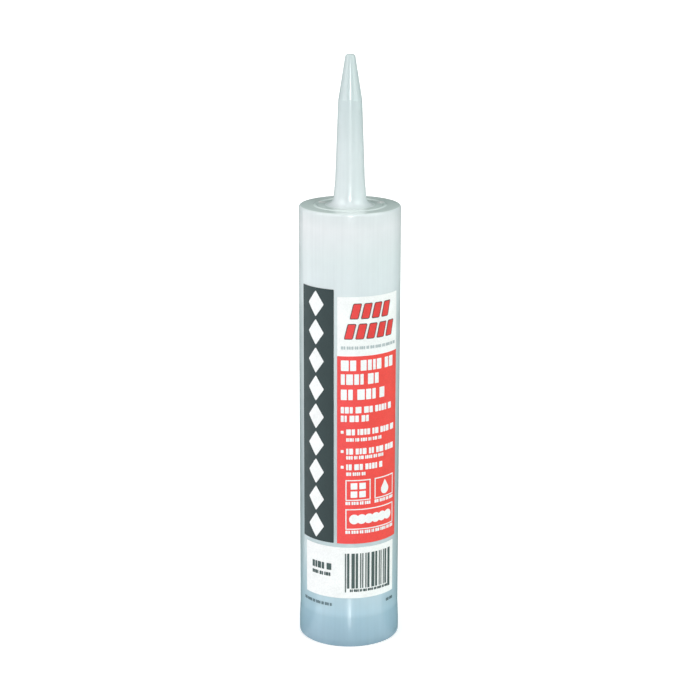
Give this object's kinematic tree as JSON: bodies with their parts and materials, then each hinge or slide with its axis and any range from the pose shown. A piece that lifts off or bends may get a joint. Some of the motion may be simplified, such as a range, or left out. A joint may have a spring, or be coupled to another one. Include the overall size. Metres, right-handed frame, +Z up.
{
  "type": "caulk tube",
  "caption": "Upright round sealant cartridge with a moulded tapered nozzle, a printed front, a fill of sealant and a sliding plunger in its open foot.",
  "frame": {"origin": "centre of the open foot, on the plane that the tube stands on", "axes": "+Z up the tube's axis to the nozzle's tip, -Y towards the printed front, +X to the right of the print"},
  "size_m": [0.0494, 0.0494, 0.2869],
  "materials": {
    "natural_plastic": "natural polyethylene, milky and half glossy",
    "plunger_plastic": "natural polyethylene, satin",
    "sealant_paste": "soft white paste",
    "seal_foil": "bright foil",
    "black_ink": "screen-printed ink, satin",
    "red_ink": "screen-printed ink, satin",
    "white_ink": "screen-printed ink, satin"
  },
  "bodies": {
    "barrel": {"barrel": "natural_plastic", "inner_seal": "seal_foil", "sealant": "sealant_paste", "print_black_panel": "black_ink", "print_red_panel": "red_ink", "print_white_header": "white_ink", "print_white_code_panel": "white_ink", "print_lozenges": "white_ink", "print_header_blocks": "red_ink", "print_text_rows": "white_ink", "print_pictures": "white_ink", "print_code_bars": "black_ink", "print_dark_rows": "black_ink"},
    "plunger": {"plunger": "plunger_plastic"}
  },
  "joints": [
    {"name": "plunger_slide", "type": "slide", "parent": "barrel", "child": "plunger", "axis": [0, 0, 1], "range_m": [0, 0.1745], "deforming": ["sealant"]}
  ]
}
